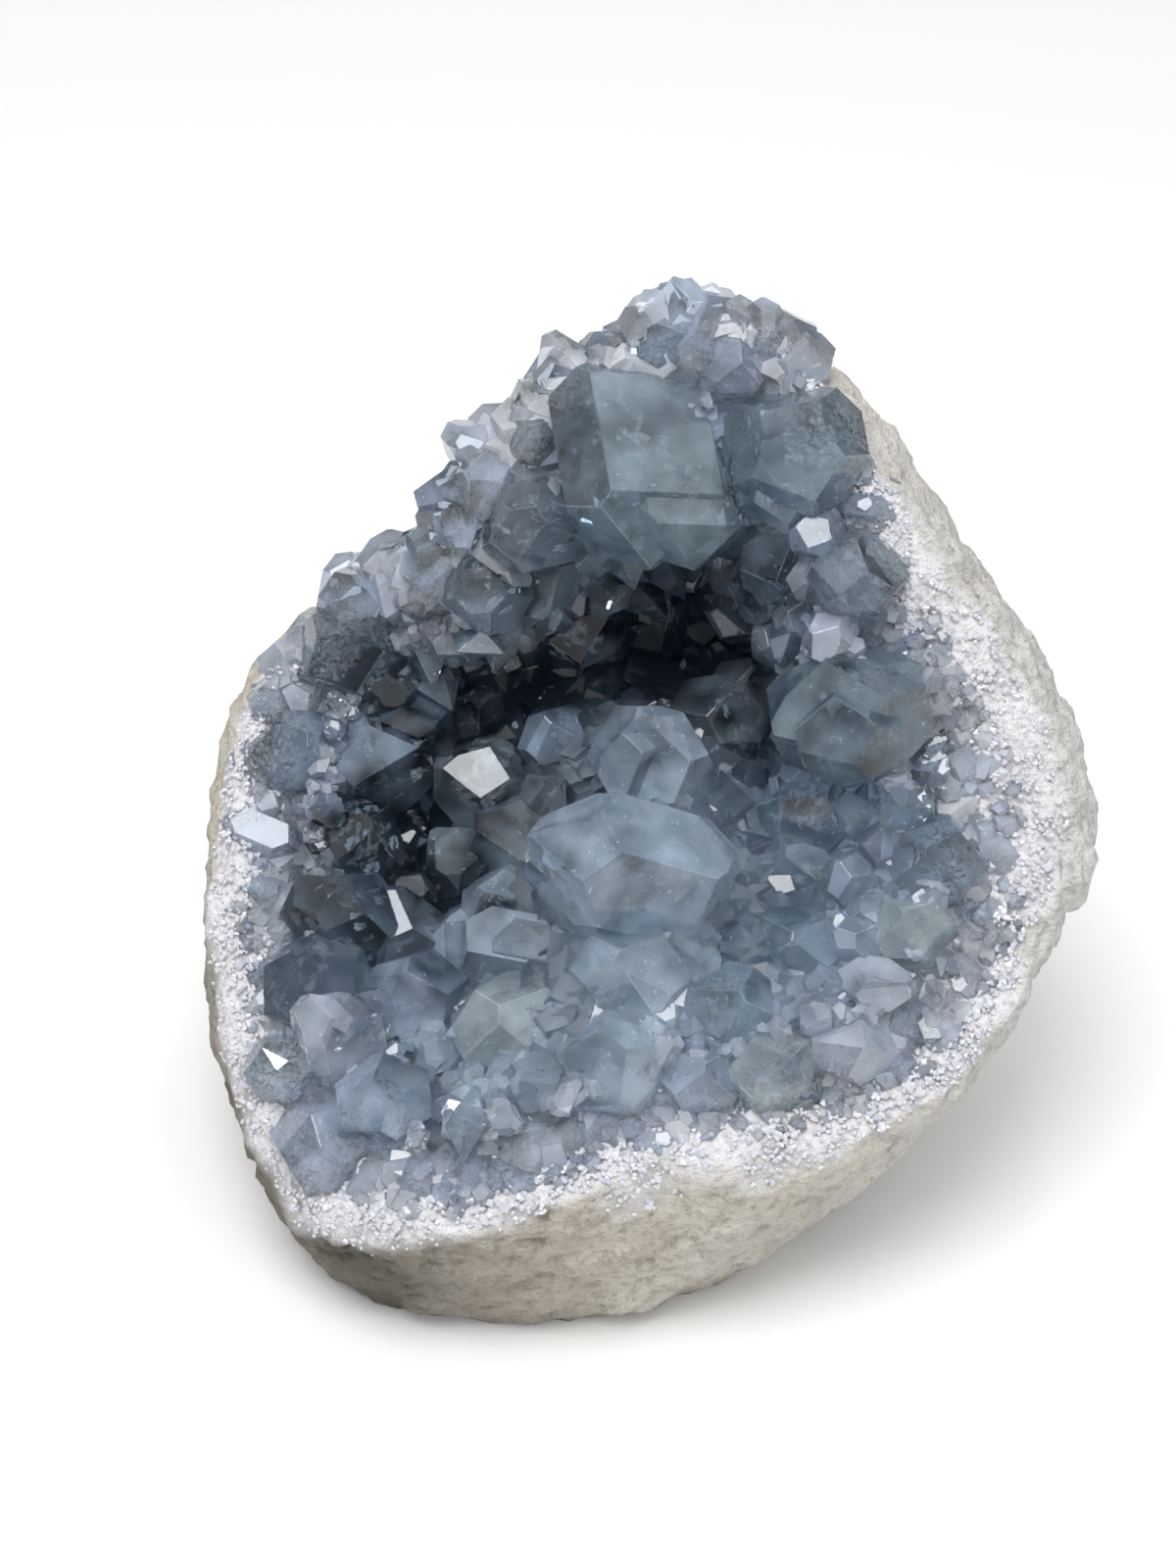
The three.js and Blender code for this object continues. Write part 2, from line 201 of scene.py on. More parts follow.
# the nodule: rings round the face, as angle, then radius and height for the outline, the edge of the
# skin, the inner edge of the broken rim, the wall of the hollow and its floor
stone = {
    "stations": np.array([
        [0, 73, -14, 67, -2, 50, -3, 38, -15, 23, -26],
        [20, 70, -14, 63, 0, 48, -2, 37, -19, 25, -33],
        [45, 69, -13, 62, 2, 50, 0, 40, -22, 28, -42],
        [62, 76, -12, 69, 2, 62, 0, 46, -22, 30, -47],
        [78, 81, -12, 79, -1, 74, -2, 51, -21, 30, -49],
        [95, 74, -13, 72, -4, 68, -5, 48, -23, 29, -49],
        [112, 63, -16, 60, -7, 56, -8, 43, -27, 29, -48],
        [130, 55, -26, 52, -16, 48, -17, 39, -34, 30, -47],
        [146, 64, -40, 60, -30, 55, -31, 45, -41, 33, -49],
        [165, 71, -38, 66, -27, 59, -29, 48, -40, 35, -50],
        [190, 74, -31, 70, -20, 61, -22, 49, -37, 35, -48],
        [212, 81, -24, 77, -11, 67, -12, 52, -29, 36, -38],
        [232, 89, -16, 82, 0, 70, 0, 52, -14, 34, -21],
        [248, 87, -12, 71, 7, 59, 5, 44, -3, 28, -10],
        [270, 79, -10, 57, 11, 47, 6, 35, 0, 22, -6],
        [295, 71, -10, 60, 8, 47, 4, 35, -3, 22, -9],
        [318, 68, -10, 64, 3, 54, 1, 40, -7, 24, -14],
        [340, 69, -12, 66, -1, 55, -2, 40, -12, 23, -20],
    ], float),
    "backPole": (0, -22, -80),
    "backRings": ((0.66, 16, -68), (0.96, 4, -42)),  # share of the outline, drop, depth
    "moundTop": (0, 0, -12),
    "lump": (0.9, 21),  # height and pitch of the low swellings
    "ledge": ((68, -9, -8), (4.5, 7, 7)),
    "columns": 360,
    "rows": ((0, 0.25, 44), (0.25, 0.375, 40), (0.375, 0.64, 156), (0.64, 1, 26)),  # from, to, how many
    "wander": ((0.035, 10, 3), (0.016, 3, 4)),  # the rim over the skin: share, pitch in mm and seed
    "strayLeft": (0.05, -30, -58),  # and how far more on the left, between these x
    "skinEnds": (0.485, 0.525),  # where along the profile the skin turns into the rim
    "grain": ((0.55, 6, 5), (0.5, 2.8, 6), (0.5, 1.5, 16)),  # of the skin: height, pitch and seed
    "layer": (0.18, 17, (11, 11, 1.7)),  # height, seed and spread of its thin layers
    "layerBend": (0.6, 9, 18),
    "pit": (1.1, 2.2, 19),
    "crumb": ((0.9, 3.4, 7), (0.6, 1.6, 8)),  # of the broken rim
    "grit": 0.5,  # how far the crumb stands out
    "rimDrop": 0.6,
    "deep": (-20, -40),  # heights between which painted shade darkens the hollow's wall
}
rimAt = 5 / 8  # along the profile, where the broken rim turns into the hollow


def bend(p0, p1, p2, p3, w):  # one span of a uniform Catmull-Rom curve
    m1, m2 = (p2 - p0) / 2, (p3 - p1) / 2
    return p1 + m1 * w + (3 * p2 - 3 * p1 - 2 * m1 - m2) * w**2 + (2 * p1 - 2 * p2 + m1 + m2) * w**3


def ringRows(turns):  # every ring of the profile at these turns, from the back pole to the mound
    angle = np.radians(stone["stations"][:, 0])
    compass = np.stack([np.cos(angle), np.sin(angle)], -1)
    outline = stone["stations"][:, 1:2]
    rings = [np.c_[share * outline * compass - [0, drop], np.full(len(angle), depth)]
             for share, drop, depth in stone["backRings"]]
    rings += [np.c_[stone["stations"][:, k:k + 1] * compass, stone["stations"][:, k + 1]]
              for k in (1, 3, 5, 7, 9)]
    count = len(angle)
    t = (turns % 1) * count
    i = np.floor(t).astype(int)
    w = (t - i)[:, None]
    rows = [bend(r[(i - 1) % count], r[i % count], r[(i + 1) % count], r[(i + 2) % count], w) for r in rings]
    ends = [np.broadcast_to(np.array(stone[k], float), rows[0].shape) for k in ("backPole", "moundTop")]
    return np.stack([ends[0], *rows, ends[1]])


def stoneAt(turns, along):  # the nodule's surface at pairs of turn and share from back to mound
    rows = ringRows(turns)
    rows = np.concatenate([2 * rows[:1] - rows[1:2], rows, 2 * rows[-1:] - rows[-2:-1]])
    t = along * (len(rows) - 3)
    i = np.minimum(np.floor(t).astype(int), len(rows) - 4)
    k = np.arange(len(turns))
    return bend(rows[i, k], rows[i + 1, k], rows[i + 2, k], rows[i + 3, k], (t - i)[:, None])


def outwardAt(turns, along, ahead=0.004, aside=0.002):  # its normal, from small steps along and round
    forward = stoneAt(turns, along + ahead) - stoneAt(turns, along - ahead)
    sideways = stoneAt(turns + aside, along) - stoneAt(turns - aside, along)
    return unit(np.cross(sideways, forward))


def closedGrid(points):  # rows of a grid that closes round and ends in a point at each pole
    rows, columns = points.shape[:2]
    body = points[1:-1].reshape(-1, 3)
    index = 1 + np.arange((rows - 2) * columns).reshape(rows - 2, columns)
    right = np.roll(index, -1, 1)
    quads = np.stack([index[:-1], right[:-1], right[1:], index[1:]], -1).reshape(-1, 4)
    first = np.stack([np.zeros(columns, int), right[0], index[0]], -1)
    last = np.stack([np.full(columns, 1 + len(body)), index[-1], right[-1]], -1)
    return np.vstack([points[0, :1], body, points[-1, :1]]), quads.tolist() + first.tolist() + last.tolist()


def closedValues(v):  # one value for each of the closed grid's points
    return np.concatenate([v[0, :1], v[1:-1].ravel(), v[-1, :1]])


def gridNormals(points):  # outward, from the steps round and along
    around = np.roll(points, -1, 1) - np.roll(points, 1, 1)
    down = np.gradient(points, axis=0)
    normal = np.cross(around, down)
    return normal / np.maximum(np.linalg.norm(normal, axis=-1, keepdims=True), 1e-9)


def rimWander(p):  # how far the broken rim strays over the skin, further on the left
    reach, near, far = stone["strayLeft"]
    return noiseSum(p, stone["wander"]) + reach * smooth(near, far, p[..., 0])


def skinRelief(p):  # grain, thin level layers and pits
    high, seed, spread = stone["layer"]
    layered = toPart(p) * 1000 / np.array(spread) + noiseSum(p, [stone["layerBend"]])[..., None]
    depth, pitch, pitSeed = stone["pit"]
    pits = depth * smooth(0.35, 0.8, noiseAt(p, pitch, pitSeed))
    return noiseSum(p, stone["grain"]) + high * noiseAt(layered, 1, seed) - pits


def buildStone():
    turns = np.arange(stone["columns"]) / stone["columns"]
    along = np.concatenate([np.linspace(a, b, n, endpoint=False) for a, b, n in stone["rows"]] + [[1.0]])
    grid = [g.ravel() for g in np.meshgrid(along, turns, indexing="ij")]
    p = stoneAt(grid[1], grid[0]).reshape(len(along), len(turns), 3)
    share = grid[0].reshape(len(along), len(turns))
    # low swellings: a product of three waves, pushed out from the middle of the back
    high, pitch = stone["lump"]
    k = 2 * np.pi / pitch
    x, y, z = np.moveaxis(p, -1, 0)
    swell = np.sin(k * x + z / 9) * np.sin(k * y - x / 11) * np.cos(k * z)
    fromMiddle = unit(p - np.array([0, 0, stone["backRings"][1][2]]))
    p = p + fromMiddle * (high * swell * (share < rimAt))[..., None]
    # the ledge: the skin is pushed out to an ellipsoid where one stands proud of it
    centre, half = (np.array(v, float) for v in stone["ledge"])
    rel = (p - centre) / half
    reach = np.linalg.norm(rel, axis=-1, keepdims=True)
    p = np.where((reach < 1) & (share[..., None] < rimAt), centre + half * rel / np.maximum(reach, 1e-6), p)
    normal = gridNormals(p)
    rim = smooth(*stone["skinEnds"], share + rimWander(p))
    hollow = smooth(rimAt - 0.01, rimAt + 0.02, share)
    crumb = stone["grit"] * noiseSum(p, stone["crumb"]) - stone["rimDrop"]
    lift = (1 - rim) * skinRelief(p) + rim * (1 - hollow) * crumb
    p = p + normal * lift[..., None]
    points, faces = closedGrid(p)
    points = toPart(points)
    points[:, 2] = np.maximum(points[:, 2], 0)  # the flat base
    mesh = newMesh("limestoneNodule", points, faces)
    attribute(mesh, "rim", closedValues(rim))
    # deep: where painted shade darkens the hollow's wall
    attribute(mesh, "deep", closedValues(smooth(*stone["deep"], p[..., 2])))
    inside = closedValues(hollow) > 0.9
    slots = [int(inside[f].all()) for f in faces]  # faces of the hollow's wall get the second material
    mesh.polygons.foreach_set("use_smooth", np.ones(len(mesh.polygons), bool))
    return mesh, slots


# the crystals: half-spaces of celestite's forms in its own axes
crystals = {
    "cell": (8.36, 5.35, 6.87),
    "focus": (0, 5, 30),  # they grow towards this point before the hollow
    "crust": 8,  # thickness of the crust that the large ones stand on
    "lining": 4.5,  # thickness of the lining shown between the small ones
    "ends": 1.12,  # how far the end faces lie out past the length
    "bevel": 0.2,
    "uneven": 0.2,  # how unequally faces grow
    "chips": 4,
    "chipped": (0.84, 0.97),  # how far out the chips lie
    "shade": (0.8, 1.15),  # from face to face
    "frosting": (-0.14, 0.1),
    "edge": (0.9, 0.07, 0.05),  # bevelled edges painted pale as a highlight: colour kept, white added, milk added
    "dark": -26,  # below this height the small ones get painted shade: darker tints that stand in for the hollow's shadow
    "tints": {  # base colour, and how milky it is
        "teal": ((0.26, 0.35, 0.41), 0.22),
        "steel": ((0.44, 0.55, 0.68), 0.28),
        "blue": ((0.30, 0.41, 0.55), 0.22),
        # painted shade: a near-black tint for crystals in the hollow's shadow and under the overhang, not their
        # own colour
        "navy": ((0.05, 0.07, 0.11), 0.18),
        "grey": ((0.25, 0.31, 0.39), 0.22),
        "glass": ((0.38, 0.49, 0.60), 0.24),
        "brown": ((0.24, 0.28, 0.33), 0.24),
        "lavender": ((0.42, 0.51, 0.68), 0.28),
        "pale": ((0.48, 0.57, 0.60), 0.34),
        "frost": ((0.56, 0.62, 0.74), 0.38),
        "white": ((0.66, 0.69, 0.76), 0.52),
    },
    # place on the face, lift from the crust, long axis, roll, half length, breadth and depth, tint
    # the near-black shaded tint in this table is painted shade on those in the dark pocket and under the
    # overhang
    "large": [
        (0, 56, 2.5, 0.15, -0.9, 0.4, 0, 21, 16, 8, "teal"),
        (24, 57, -0.5, 0.1, -0.85, 0.5, 20, 14, 12, 10, "teal"),
        (23, 42, -0.5, -0.2, -0.6, 0.75, 30, 10, 9, 6, "grey"),
        (-17, 46, -1.5, -0.1, -0.8, 0.6, 10, 11, 9, 8, "grey"),
        (-24, 53, -3.5, -0.5, 0.1, 0.85, 30, 8, 7, 6, "lavender"),
        (-17, 59, -3.5, -0.3, 0.3, 0.9, 0, 7, 5, 5, "grey"),
        (-27, 47, -3.5, -0.5, -0.5, 0.7, 0, 8, 5, 5, "lavender"),
        (-32, 43, -3.5, -0.9, 0.4, 0.4, 0, 7, 4, 4, "grey"),
        (-25, 37, -2.5, -0.1, -0.8, 0.6, 0, 11, 8, 6, "grey"),
        (-17, 38, -1.5, 0.2, -0.7, 0.7, 45, 10, 9, 6, "grey"),
        (-10, 33, -0.5, 0.1, -0.8, 0.6, 20, 11, 9, 8, "grey"),
        (3, 34, -1.5, 0.2, -0.75, 0.6, 60, 10, 9, 8, "navy"),
        (13, 49, -3.5, 0.1, -0.7, 0.7, 0, 11, 9, 6, "navy"),
        (17, 34, -1.5, 0.1, -0.5, 0.85, 0, 10, 8, 6, "grey"),
        (7, 79, -4.5, -0.25, 0.8, 0.5, 0, 7, 6, 5, "lavender"),
        (4, 74, -3.5, -0.3, 0.4, 0.85, 30, 7, 7, 5, "blue"),
        (15, 77, -4.5, 0.3, 0.6, 0.7, 0, 6, 5, 4, "frost"),
        (-5, 73, -4.5, -0.4, 0.5, 0.75, 0, 6, 5, 4, "lavender"),
        (14, 70, -3.5, 0.2, 0.3, 0.93, 0, 8, 7, 5, "lavender"),
        (33, 16, 1.5, -0.85, -0.15, 0.5, 10, 15, 14, 11, "teal"),
        (30, 1, -1.5, -0.6, 0.1, 0.8, 40, 15, 10, 9, "blue"),
        (47, -7, -4.5, -0.3, 0.1, 0.95, 0, 11, 9, 8, "blue"),
        (34, 37, -1.5, -0.4, -0.4, 0.8, 0, 11, 9, 8, "grey"),
        (43, -19, -3.5, -0.3, 0.4, 0.87, 0, 9, 8, 6, "pale"),
        (27, -10, -2.5, -0.4, 0.3, 0.87, 0, 10, 8, 8, "blue"),
        (3, 7, 2.5, -0.3, 0.6, 0.75, 0, 14, 11, 10, "steel"),
        (-1, -8, 2.5, -0.85, 0.25, 0.45, 0, 19, 13, 11, "steel"),
        (14, 13, -0.5, 0.1, 0.75, 0.65, 0, 15, 11, 10, "grey"),
        (-12, 11, -1.5, -0.3, 0.6, 0.75, 20, 9, 8, 6, "blue"),
        (-26, 5, 4.5, -0.7, 0.3, 0.65, 0, 12, 10, 9, "glass"),
        (-20, -4, 0.5, -0.6, 0.2, 0.77, 0, 10, 9, 8, "glass"),
        (-29, -8, 2.5, -0.8, 0.1, 0.6, 0, 10, 8, 6, "glass"),
        (-21, -16, -0.5, -0.4, 0.4, 0.8, 30, 11, 9, 8, "steel"),
        (-27, 17, -0.5, 0.1, -0.2, 0.97, 0, 10, 9, 8, "brown"),
        (-44, 9, -0.5, 0.5, 0.1, 0.85, 0, 14, 13, 11, "blue"),
        (-49, 27, -3.5, 0.4, 0.1, 0.9, 30, 12, 11, 9, "navy"),
        (-47, 35, -4.5, 0.1, 0.4, 0.9, 0, 9, 8, 7, "lavender"),
        (-57, 10, -4.5, 0.3, 0.1, 0.95, 0, 10, 9, 8, "blue"),
        (-48, -5, -1.5, 0.4, 0.2, 0.9, 0, 12, 10, 9, "navy"),
        (-49, -18, -0.5, 0.2, 0.6, 0.77, 0, 12, 11, 10, "navy"),
        (-53, -27, -2.5, -0.2, 0.5, 0.85, 40, 11, 10, 9, "navy"),
        (-40, -21, 0.5, -0.6, 0.5, 0.6, 0, 12, 9, 8, "steel"),
        (-36, -31, -1.5, -0.2, 0.6, 0.77, 20, 12, 10, 8, "lavender"),
        (-48, -38, -2.5, -0.1, 0.8, 0.6, 0, 14, 8, 6, "frost"),
        (-55, -42, -3.5, -0.4, 0.6, 0.75, 0, 11, 8, 6, "blue"),
        (-41, -47, -4.5, 0.1, 0.5, 0.85, 40, 12, 10, 8, "lavender"),
        (-50, -53, -4.5, -0.2, 0.5, 0.85, 0, 11, 9, 8, "lavender"),
        (-19, -24, 0.5, 0.9, -0.15, 0.4, 0, 14, 8, 8, "steel"),
        (-29, -23, -0.5, -0.3, 0.5, 0.8, 60, 11, 9, 8, "steel"),
        (-20, -35, -1.5, -0.2, 0.3, 0.93, 0, 12, 11, 10, "pale"),
        (-1, -26, -1.5, -0.3, 0.3, 0.9, 0, 12, 11, 10, "steel"),
        (13, -31, -3.5, 0.2, 0.3, 0.93, 20, 11, 9, 8, "blue"),
        (25, -22, -2.5, -0.2, 0.3, 0.93, 0, 11, 9, 8, "blue"),
        (-4, -39, -4.5, -0.1, 0.4, 0.9, 50, 11, 10, 8, "steel"),
        (9, -41, -4.5, 0.1, 0.3, 0.95, 0, 9, 8, 6, "lavender"),
        (20, -41, -4.5, 0.3, 0.2, 0.93, 0, 10, 9, 6, "pale"),
        (32, -37, -4.5, 0.2, 0.3, 0.93, 30, 10, 9, 6, "frost"),
    ],
    "step": {"seed": 4, "over": 12, "shrink": 0.7, "shift": (0.75, 1.04)},  # on those longer than this
    "small": {"seed": 7, "tries": 600, "rimBias": 0.8, "rimHalf": 5, "deepHalf": 9, "spacing": 0.85,
              "tilt": 0.9, "lift": 0.2, "slim": (0.6, 0.3), "thin": (0.45, 0.35), "bevel": 0.2,
              "navyFrom": 0.35},
    "middling": {"seed": 15, "tries": 700, "rimBias": 0.9, "reach": 0.8, "size": (3.2, 6.8), "spacing": 0.62,
                 "tilt": 1.1, "lift": 0.1, "long": 1.1, "broad": (0.7, 0.95), "deep": (0.55, 0.8),
                 "bevel": 0.15,
                 "tints": ((0.1, ("frost", "lavender")), (0.4, ("steel", "blue", "lavender")),
                           (1.0, ("grey", "navy"))),  # up to this share inward
                 "darkTints": ("navy", "grey", "blue")},
    "fill": {"seed": 21, "count": 1500, "rimBias": 1.1, "reach": 0.92, "rimHalf": 2.2, "more": 3.6,
             "grown": 2.2, "vary": (0.7, 1.3), "proud": 0.6, "sunk": 0.4, "tilt": 1.3,
             "broad": (0.6, 0.95), "deep": (0.5, 0.8),
             "tints": ((0.07, "frost"), (0.16, "lavender"), (0.34, "steel"), (1.0, "grey")), "navyFrom": 0.3},
    "rim": {"seed": 33, "count": 1300, "from": 0.555, "to": 0.685, "bias": 0.7, "tilt": 1.4, "half": 1.2,
            "more": 3.8, "inner": (0.54, 0.67), "upLeft": ((0.185, 0.225), (0.46, 0.52)), "upMore": 1.7,
            "upOut": 0.05, "vary": (0.65, 1.45), "sunk": 0.68, "long": 1.2, "broad": (0.65, 0.95),
            "deep": (0.55, 0.8), "tints": ((0.45, "white"), (1.0, "frost"), (2.0, "lavender"))},
}


def wallAt(turns, inward, rise):  # the hollow's wall raised towards the focus, inward from rim to mound
    p = stoneAt(turns, rimAt + (1 - rimAt) * inward)
    return p + unit(np.array(crystals["focus"]) - p) * np.reshape(rise, (-1, 1))


def turnAt(x, y):  # the turn at which a point of the face lies
    angles = np.r_[stone["stations"][:, 0], 360]
    return np.interp(np.degrees(np.arctan2(y, x)) % 360, angles, np.arange(len(angles)) / (len(angles) - 1))


def wallBehind(x, y, steps=60):  # height of the raised wall straight behind a point of the face
    inward = np.arange(1, steps + 1) / steps
    p = wallAt(np.full(steps, turnAt(x, y)), inward, crystals["crust"])
    near = np.flatnonzero(np.hypot(p[:, 0], p[:, 1]) < np.hypot(x, y))
    return p[near[0], 2] if len(near) else stone["moundTop"][2] + crystals["crust"]


def formNormals(forms):  # every face of these Miller indices as a unit normal
    signs = lambda h: (0,) if h == 0 else (h, -h)
    faces = [hkl for form in forms for hkl in itertools.product(*map(signs, form))]
    return unit(np.array(faces, float) / np.array(crystals["cell"]))


domePrism = formNormals([(0, 1, 1), (2, 1, 0)])
withPinacoid = formNormals([(0, 1, 1), (2, 1, 0), (0, 0, 1)])
withEnds = formNormals([(0, 1, 1), (2, 1, 0), (0, 0, 1), (1, 0, 1)])


def faceDistances(normals, half):  # prism faces meet the length, domes the breadth, pinacoids the depth
    x, y, z = np.abs(normals).T
    prism = half[0] * x * np.where(z > 1e-9, crystals["ends"], 1)
    return np.where(x > 1e-9, prism, np.where(y > 1e-9, half[1] * y, half[2]))


trios = {}  # every choice of three planes, by how many planes there are


# corners are where three planes meet inside all the others, and go round each face about its normal
def polyhedron(normals, distances):
    count = len(normals)
    if count not in trios:
        trios[count] = np.array(list(itertools.combinations(range(count), 3)))
    i, j, k = trios[count].T
    across = np.cross(normals[j], normals[k])
    volume = np.sum(normals[i] * across, axis=1)
    firm = np.abs(volume) > 1e-5
    i, j, k = i[firm], j[firm], k[firm]
    corners = distances[i, None] * across[firm] + distances[j, None] * np.cross(normals[k], normals[i])
    corners = (corners + distances[k, None] * np.cross(normals[i], normals[j])) / volume[firm, None]
    corners = corners[np.all(corners @ normals.T < distances + 1e-4, axis=1)]
    corners = np.unique(np.round(corners, 3), axis=0)
    on = np.abs(corners @ normals.T - distances) < 2e-3
    side = unit(np.cross(normals, np.roll(normals, 1, axis=1) + [0.1, 0.2, 0.3]))
    other = np.cross(normals, side)
    faces, planes = [], np.flatnonzero(on.sum(0) > 2)
    for plane in planes:
        at = np.flatnonzero(on[:, plane])
        spoke = corners[at] - corners[at].mean(0)
        order = np.argsort(np.arctan2(spoke @ other[plane], spoke @ side[plane]))
        faces.append(at[order].tolist())
    return corners, faces, planes


def isClosed(corners, faces, planes):
    edges = [tuple(sorted(e)) for f in faces for e in zip(f, f[1:] + f[:1])]
    return len(corners) - len(set(edges)) + len(faces) == 2 and len(edges) == 2 * len(set(edges))


def bevelled(normals, distances, width):  # an extra face of this width along each edge
    corners, faces, planes = polyhedron(normals, distances)
    extraN, extraD = [], []
    for (i, f), (j, g) in itertools.combinations(zip(planes, faces), 2):
        shared = list(set(f) & set(g))
        if len(shared) == 2:
            n = unit(normals[i] + normals[j])
            extraN.append(n)
            slope = np.sqrt((1 - normals[i] @ normals[j]) / (1 + normals[i] @ normals[j]))
            extraD.append(n @ corners[shared].mean(0) - width / 2 * slope)
    shape = polyhedron(np.vstack([normals, extraN]), np.r_[distances, extraD])
    return shape if isClosed(*shape) else (corners, faces, planes)


def uneven(normals, distances, rng, chips):  # faces grown unequally, and a few corners broken off
    amount = crystals["uneven"]
    distances = distances * rng.uniform(1 - amount, 1 + amount / 3, len(distances))
    if not chips:
        return normals, distances
    breaks = unit(rng.normal(size=(chips, 3)))
    reach = (polyhedron(normals, distances)[0] @ breaks.T).max(0)
    return np.vstack([normals, breaks]), np.r_[distances, reach * rng.uniform(*crystals["chipped"], chips)]


def crystalAxes(grow, roll):  # columns: long axis, breadth, depth
    a = unit(np.asarray(grow, float))
    b = unit(np.cross([0, 1, 0], a))
    c = np.cross(a, b)
    r = np.radians(roll)
    b = b * np.cos(r) + c * np.sin(r)
    return np.stack([a, b, np.cross(a, b)], -1)


def drawer(seed):  # repeatable numbers from 0 to 1, the same as the solid's
    state = seed
    while True:
        state = (state * 1664525 + 1013904223) % 2**32
        yield state / 2**32


def crystal(middle, grow, roll, half, tint, normals=withEnds, bevel=0):
    return {"middle": middle, "grow": grow, "roll": roll, "half": np.array(half, float), "tint": str(tint),
            "normals": normals, "bevel": bevel}


def largeCrystals():
    return [crystal(np.array([x, y, wallBehind(x, y) + lift]), (ax, ay, az), roll, half, tint,
                    bevel=crystals["bevel"])
            for x, y, lift, ax, ay, az, roll, *half, tint in crystals["large"]]


def roomFor(middle, breadth, spacing, placed):  # the least gap to those that stand already
    return min(np.linalg.norm(c["middle"] - middle) - spacing * (c["half"][1] + breadth) for c in placed)


def towardsFocus(middle):
    return unit(np.array(crystals["focus"]) - middle)


def smallCrystals(taken):  # they fill the wall between the large ones
    s, draw = crystals["small"], drawer(crystals["small"]["seed"])
    placed = list(taken)
    for tries in range(s["tries"]):
        turn = next(draw)
        inward = next(draw) ** s["rimBias"]
        size = s["rimHalf"] + (s["deepHalf"] - s["rimHalf"]) * inward * next(draw)
        tilt = np.array([next(draw) - 0.5, next(draw) - 0.5, next(draw) - 0.5])
        roll = 360 * next(draw)
        slim = s["slim"][0] + s["slim"][1] * next(draw)
        thin = s["thin"][0] + s["thin"][1] * next(draw)
        middle = wallAt(np.array([turn]), np.array([inward]), crystals["crust"] + s["lift"] * size)[0]
        if roomFor(middle, size * slim, s["spacing"], placed) <= 0:
            continue
        # painted shade: the deeper small ones take the near-black tint
        tint = "navy" if inward > s["navyFrom"] else "blue"
        placed.append(crystal(middle, towardsFocus(middle) + tilt * s["tilt"], roll,
                              size * np.array([1, slim, thin]), tint, domePrism, s["bevel"]))
    return placed[len(taken):]


def middlingCrystals(taken):  # crowded in among the large ones, and standing well out of the crust
    m = crystals["middling"]
    rng = np.random.default_rng(m["seed"])
    placed = list(taken)
    for tries in range(m["tries"]):
        turn = rng.random(1)
        inward = rng.random(1) ** m["rimBias"] * m["reach"]
        size = rng.uniform(*m["size"])
        tilt = m["tilt"] * (rng.random(3) - 0.5)
        roll = 360 * rng.random()
        half = size * np.array([m["long"], rng.uniform(*m["broad"]), rng.uniform(*m["deep"])])
        middle = wallAt(turn, inward, crystals["crust"] + m["lift"] * size)[0]
        if roomFor(middle, half[1], m["spacing"], placed) < 0:
            continue
        names = next(names for upTo, names in m["tints"] if inward < upTo)
        # painted shade: below this height only darker tints are drawn
        if middle[2] < crystals["dark"]:
            names = m["darkTints"]
        tint = rng.choice(names)
        placed.append(crystal(middle, towardsFocus(middle) + tilt, roll, half, tint, bevel=m["bevel"]))
    return placed[len(taken):]


def tintsBelow(values, tints):  # the first tint whose limit lies above each value
    limits, names = zip(*tints)
    return np.array(names)[np.searchsorted(limits, values, side="right")]


def halves(size, long, f, rng):  # half lengths, breadths and depths
    count = len(size)
    broad = rng.uniform(*f["broad"], count)
    deep = rng.uniform(*f["deep"], count)
    return size[:, None] * np.c_[np.full(count, long), broad, deep]


def fillCrystals():  # many more between them, whose tips end near the crust's own surface
    f = crystals["fill"]
    rng = np.random.default_rng(f["seed"])
    count = f["count"]
    turns = rng.random(count)
    inward = rng.random(count) ** f["rimBias"] * f["reach"]
    size = (f["rimHalf"] + f["more"] * np.minimum(inward * f["grown"], 1)) * rng.uniform(*f["vary"], count)
    middle = wallAt(turns, inward, crystals["crust"] + f["proud"] - f["sunk"] * size)
    grow = towardsFocus(middle) + f["tilt"] * (rng.random((count, 3)) - 0.5)
    half = halves(size, 1.0, f, rng)
    roll = 360 * rng.random(count)
    # painted shade: deep in the hollow the fill crystals take the near-black tint
    deep = (middle[:, 2] < crystals["dark"]) & (inward > f["navyFrom"])
    names = np.where(deep, "navy", tintsBelow(inward, f["tints"]))
    return [crystal(*row) for row in zip(middle, grow, roll, half, names)]


def rimCrystals():  # from the broken rim down into the hollow, pale and finer outwards
    f = crystals["rim"]
    rng = np.random.default_rng(f["seed"])
    count = f["count"]
    turns = rng.random(count)
    along = f["from"] + (f["to"] - f["from"]) * rng.random(count) ** f["bias"]
    start, end = f["upLeft"]  # between these turns the crystals reach the skin
    upLeft = smooth(*start, turns) * (1 - smooth(*end, turns))
    along = along - f["upOut"] * upLeft * rng.random(count)
    inner = smooth(*f["inner"], along)
    size = (f["half"] + f["more"] * inner + f["upMore"] * upLeft) * rng.uniform(*f["vary"], count)
    grow = outwardAt(turns, along) + f["tilt"] * (rng.random((count, 3)) - 0.5)
    middle = stoneAt(turns, along) - unit(grow) * (f["sunk"] * size)[:, None]
    half = halves(size, f["long"], f, rng)
    roll = 360 * rng.random(count)
    names = tintsBelow(rng.random(count) + 0.5 * inner, f["tints"])
    return [crystal(*row) for row in zip(middle, grow, roll, half, names)]


def steps(large):  # parallel growth: smaller copies of a large crystal that stand just out of its faces
    s = crystals["step"]
    rng = np.random.default_rng(s["seed"])
    grown = []
    for c in large:
        if c["half"][0] > s["over"]:
            shift = c["half"] * (1 - s["shrink"]) * rng.choice([-1, 1], 3) * rng.uniform(*s["shift"], 3)
            shift[0] = abs(shift[0])
            middle = c["middle"] + crystalAxes(c["grow"], c["roll"]) @ shift
            grown.append({**c, "middle": middle, "half": c["half"] * s["shrink"]})
    return grown


